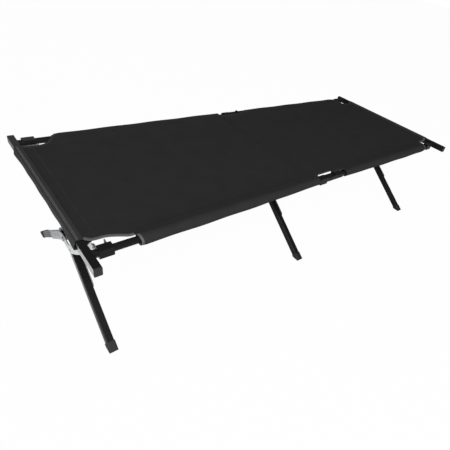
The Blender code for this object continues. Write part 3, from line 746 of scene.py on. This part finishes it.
def cutout_tapes(stations, half, side, sizes):
    """Binding tape along one side of a half: at its corner cut-out and at the mid hinge."""
    e, s = HALVES[half], SIDES[side]
    sleeve_end, mid_end = edge_span(half, side)
    line = [(row.x, MID_Y + s * (row.near if side == "near" else row.far))
            for row in stations if row.z is None]
    line = [(x, y, bed_height(x, y, sizes)) for x, y in line]
    # The corner's tape runs from the hem's end to a little way past the sleeve's start
    on_hem, over_top, past_start, past_slant = 0.002, 0.0002, 0.004, 0.005
    corner = [p for p in line if e * p[0] > sleeve_end - past_start]
    corner.insert(0, (e * (BAR_FACE + on_hem), MID_Y + s * HEM_HALF, BED_TOP + over_top))
    middle = [p for p in line if e * (p[0] - mid_end) < past_slant]
    tapes = []
    for label, points in (("corner", corner), ("middle", middle)):
        # The way along the line has the cloth on its left
        if s * e < 0:
            points = points[::-1]
        # Near corners get the pale tape as painted light, the rest the hem cloth as painted shade
        pale = label == "corner" and side == "near"
        mat = bpy.data.materials["polyester_tape" if pale else "woven_polyester_hem"]
        tapes.append(binding_tape(label + "_tape", points, sizes, mat))
    return tapes


def sleeve_stitches(half, side, sizes):
    """The two rows that close a sleeve, inside its rail."""
    e, s = HALVES[half], SIDES[side]
    sleeve_end, mid_end = edge_span(half, side)
    end_gap = 0.012
    rows = []
    for from_seam in (0.003, 0.008):
        y = MID_Y + s * (RAIL_Y - (sizes.sleeve_seam - from_seam))
        line = [on_cloth(x, y, sizes) for x in
                np.linspace(e * (sleeve_end - end_gap), mid_end + e * end_gap, STITCH_POINTS)]
        rows.append(stitch_row("sleeve_stitches", line, sizes,
                               bpy.data.materials["dark_nylon_thread"]))
    return rows


def hem_stitches(half, sizes):
    """Two pale rows along the top of the hem, also a painted highlight on its edge, and a dark one
    along its seam, also a painted shadow there.
    """
    end_gap = 0.004
    top = BAR_Z + BAR_HALF_H + BAR_EASE + sizes.cloth
    rows = []
    for offset, thread in ((0.0058, "nylon_thread"), (0.0018, "nylon_thread"),
                           (-sizes.hem_seam + 0.004, "dark_nylon_thread")):
        x = HALVES[half] * (BAR_X + offset)
        on_bar = offset > 0
        wide = HEM_HALF - end_gap if on_bar else edge_half(x, half, "near") - sizes.tape
        line = [(x, y, top) if on_bar else on_cloth(x, y, sizes)
                for y in np.linspace(MID_Y - wide, MID_Y + wide, STITCH_POINTS)]
        rows.append(stitch_row("hem_stitches", line, sizes, bpy.data.materials[thread]))
    return rows


def seam_stitches(sizes):
    """The two rows of the seam across the bed, in very dark thread that is also the painted
    shadow along the seam's lap.
    """
    end_gap = 0.014
    wide = RAIL_Y - end_gap
    rows = []
    for offset in (-0.0042, 0.0042):
        line = [(sizes.seam_x + offset, y, on_cloth(sizes.seam_x, y, sizes)[2])
                for y in np.linspace(MID_Y - wide, MID_Y + wide, STITCH_POINTS)]
        rows.append(stitch_row("seam_stitches", line, sizes,
                               bpy.data.materials["dark_nylon_thread"]))
    return rows


def sleeve_section(x, side, sizes):
    """Section of a sleeve, as distances in from the rail's middle and heights: from the upper seam
    out over the rail, round it and back to the lower seam."""
    s = SIDES[side]
    puff = sleeve_puff(x, side, sizes)
    grown = RAIL_RADIUS + RAIL_EASE + sizes.cloth / 2 + puff * 0.85
    outwards = puff * 0.6
    # Under the bed, then round the rail, then back under both
    below_bed, below_both = sizes.cloth * 1.1, sizes.cloth * 1.15
    brow, halfway = 0.012, 0.023
    seam_z = bed_height(x, MID_Y + s * (RAIL_Y - sizes.sleeve_seam), sizes) - below_bed
    brow_z = bed_height(x, MID_Y + s * (RAIL_Y - brow), sizes) - below_bed
    section = [(sizes.sleeve_seam, seam_z), (halfway, (seam_z + brow_z) / 2), (brow, brow_z)]
    for degrees in range(102, -151, -14):
        a = math.radians(degrees)
        section.append((-grown * math.cos(a) - outwards * max(math.cos(a), 0.0),
                        RAIL_Z + grown * math.sin(a)))
    section += [(0.018, RAIL_Z + 0.0002 - puff * 0.3), (0.028, RAIL_Z + 0.0055),
                (sizes.sleeve_seam, seam_z - below_both)]
    return section


class CAMPCOT_OT_bed_cloth(bpy.types.Operator):
    """Bed cloth of both halves, each with its hem round the end bar, binding tape and sewing"""
    bl_idname = "campcot.bed_cloth"
    bl_label = "Bed cloth"

    def execute(self, context):
        sizes = context.scene.cot_sizes
        cloth = bpy.data.materials["woven_polyester"]
        lit_hem_cloth = bpy.data.materials["woven_polyester_hem"]
        for half in HALVES:
            stations, hem_rows = bed_stations(half, sizes)
            rows, uv = bed_grid(stations, half, sizes)
            # The hem's rows take the lighter hem cloth: painted light on the hem
            bed = cloth_strip("bed_cloth_" + half, rows, uv, sizes.cloth, [cloth, lit_hem_cloth],
                              hem_rows)
            extras = []
            for side in SIDES:
                extras += cutout_tapes(stations, half, side, sizes)
                extras += sleeve_stitches(half, side, sizes)
            extras += hem_stitches(half, sizes)
            if half == "foot":
                extras += seam_stitches(sizes)
            join_into(bed, extras)
            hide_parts("bed_panel_" + half, "bed_hem_" + half)
            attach(bed, "near_foot_frame" if half == "foot" else "near_head_frame")
            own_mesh(bed)
        return {"FINISHED"}


class CAMPCOT_OT_side_sleeves(bpy.types.Operator):
    """Sleeves that wrap the side rails, closed by the seam under the bed cloth"""
    bl_idname = "campcot.side_sleeves"
    bl_label = "Side sleeves"

    def execute(self, context):
        sizes = context.scene.cot_sizes
        # The sleeve cloth is painted a little lighter than the bed's, as painted light
        cloth = bpy.data.materials["woven_polyester_sleeve"]
        # The pale tape on each sleeve's open end is a painted highlight
        tape = bpy.data.materials["polyester_tape"]
        # Width of the binding at a sleeve's open end; the end is cut on a slant, which grows to its
        # reach over rise on the way round the rail and fades along the sleeve
        bound, row_gap, sleeve_rows = 0.008, 0.0005, 68
        reach, rise, fade = 0.009, 0.055, 0.06
        for half, e in HALVES.items():
            for side, s in SIDES.items():
                name = side + "_" + half + "_sleeve"
                low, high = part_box(name)
                corner = e * edge_span(half, side)[0]
                inner = high.x if half == "foot" else low.x
                marks = [corner, corner - e * bound]
                marks += list(np.linspace(corner - e * (bound + row_gap), inner, sleeve_rows))
                rows, uv, widths = [], [], []
                for x in marks:
                    section = sleeve_section(x, side, sizes)
                    lengths = [0.0]
                    for a, b in zip(section, section[1:]):
                        lengths.append(lengths[-1] + math.hypot(b[0] - a[0], b[1] - a[1]))
                    widths.append(lengths[-1])
                    slant = reach * max(0.0, 1 - abs(x - corner) / fade)
                    rows.append([(x - e * slant * min(t / rise, 1.0),
                                  MID_Y + s * (RAIL_Y - inwards), z)
                                 for (inwards, z), t in zip(section, lengths)])
                    uv.append([(x, t) for t in lengths])
                sleeve = cloth_strip(name.replace("sleeve", "rail_sleeve"), rows, uv, sizes.cloth,
                                     [cloth, tape], 1)
                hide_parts(name)
                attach(sleeve, side + "_" + half + "_frame")
        return {"FINISHED"}


class CAMPCOT_OT_finishes(bpy.types.Operator):
    """Paint, plating and plastic on the frame's own parts, and the cover's cloths and threads"""
    bl_idname = "campcot.finishes"
    bl_label = "Finishes"

    def execute(self, context):
        colours = context.scene.cot_colours
        paint = painted_steel("gloss_enamel_steel", tuple(colours.paint))
        zinc = zinc_plate("zinc_plated_steel", tuple(colours.zinc))
        plastic = moulded_plastic("moulded_polypropylene", tuple(colours.plastic))
        dark_plastic = moulded_plastic("black_polypropylene", linear_colour(PLUG_HEX))
        woven_cloth("woven_polyester", tuple(colours.cloth))
        woven_cloth("woven_polyester_hem", linear_colour(LIT_HEM_HEX))
        woven_cloth("woven_polyester_sleeve", linear_colour(LIT_SLEEVE_HEX))
        woven_cloth("polyester_tape", tuple(colours.tape), thread=0.0009, depth=0.25)
        sewing_thread("nylon_thread", linear_colour(THREAD_HEX))
        sewing_thread("dark_nylon_thread", linear_colour(DARK_THREAD_HEX))
        for name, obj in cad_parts.items():
            slot = obj.material_slots[0].material.name if obj.material_slots else ""
            if "plug" in name or name in FEET:
                finish = dark_plastic
            elif "zinc" in slot:
                finish = zinc
            elif "plastic" in slot:
                finish = plastic
            else:
                finish = paint
            if not obj.material_slots:
                obj.data.materials.append(finish)
            for entry in obj.material_slots:
                entry.material = finish
        return {"FINISHED"}


class CAMPCOT_OT_studio(bpy.types.Operator):
    """White floor, soft lamps, plain world and the camera"""
    bl_idname = "campcot.studio"
    bl_label = "Studio"

    def execute(self, context):
        scene = context.scene
        clear_selection()
        bpy.ops.mesh.primitive_plane_add(size=FLOOR_SIZE, location=(0, 0, 0))
        floor = context.object
        floor.name = "studio_floor"
        floor.data.materials.append(studio_white("studio_white"))
        for name, place, target, size, power in LAMPS:
            bpy.ops.object.light_add(type="AREA", location=place)
            lamp = context.object
            lamp.name = name
            lamp.data.shape = "RECTANGLE"
            lamp.data.size, lamp.data.size_y = size
            lamp.data.energy = power
            lamp.visible_camera = False
            aim = Vector(target) - Vector(place)
            lamp.rotation_euler = aim.to_track_quat("-Z", "Y").to_euler()
        scene.world = pale_world("studio_world")
        scene.camera = photo_camera("photo_camera")
        scene.view_settings.view_transform = "Standard"
        return {"FINISHED"}


class CAMPCOT_PT_panel(bpy.types.Panel):
    """Steps that dress the cot"""
    bl_idname = "CAMPCOT_PT_panel"
    bl_label = "Camp Cot"
    bl_space_type = "VIEW_3D"
    bl_region_type = "UI"
    bl_category = "Camp Cot"

    def draw(self, context):
        for operator in STEPS:
            self.layout.operator(operator.bl_idname)


STEPS = (CAMPCOT_OT_studio, CAMPCOT_OT_finishes, CAMPCOT_OT_bed_cloth, CAMPCOT_OT_side_sleeves)
CLASSES = (CotCoverSizes, CotColours, *STEPS, CAMPCOT_PT_panel)


def register():
    for cls in CLASSES:
        bpy.utils.register_class(cls)
    bpy.types.Scene.cot_sizes = bpy.props.PointerProperty(type=CotCoverSizes)
    bpy.types.Scene.cot_colours = bpy.props.PointerProperty(type=CotColours)


def unregister():
    del bpy.types.Scene.cot_colours
    del bpy.types.Scene.cot_sizes
    for cls in reversed(CLASSES):
        bpy.utils.unregister_class(cls)


def main():
    register()
    bpy.ops.campcot.studio()
    bpy.ops.campcot.finishes()
    bpy.ops.campcot.bed_cloth()
    bpy.ops.campcot.side_sleeves()


if __name__ == "__main__":
    main()
